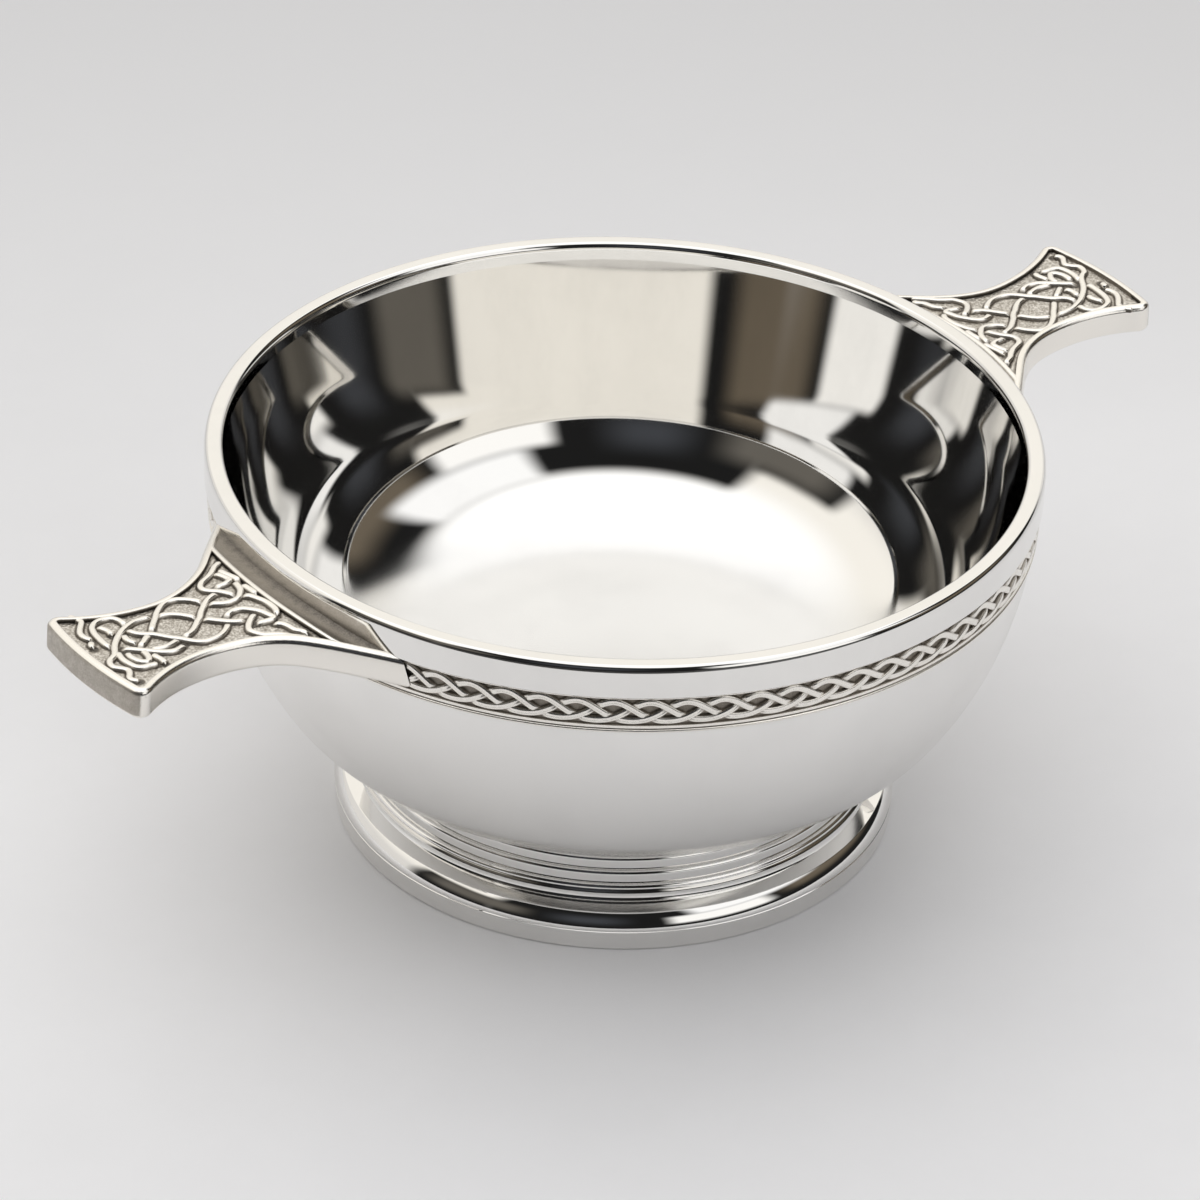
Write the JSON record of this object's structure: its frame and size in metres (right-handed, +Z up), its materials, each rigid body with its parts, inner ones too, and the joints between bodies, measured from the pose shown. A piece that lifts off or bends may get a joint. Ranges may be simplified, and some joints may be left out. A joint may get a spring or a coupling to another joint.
{
  "type": "quaich",
  "caption": "Shallow two-handled drinking bowl in polished pewter with a flat-topped rim, a knotwork band, flared lug handles and a moulded ring foot.",
  "frame": {"origin": "centre of the foot's resting face", "axes": "+X through the right-hand handle, +Z up along the bowl's axis, +Y to the back"},
  "size_m": [0.1586, 0.102, 0.051],
  "materials": {
    "polished_pewter": "mirror polished inside, bright satin outside",
    "antiqued_pewter": "cast relief, darkened in the recesses and rubbed bright on top"
  },
  "bodies": {
    "root": {"bowl": "polished_pewter", "rim_mount": "polished_pewter", "knotwork_band": "antiqued_pewter", "handle_left": "antiqued_pewter", "handle_right": "antiqued_pewter", "foot_ring": "polished_pewter", "foot_wire": "polished_pewter"}
  },
  "joints": []
}
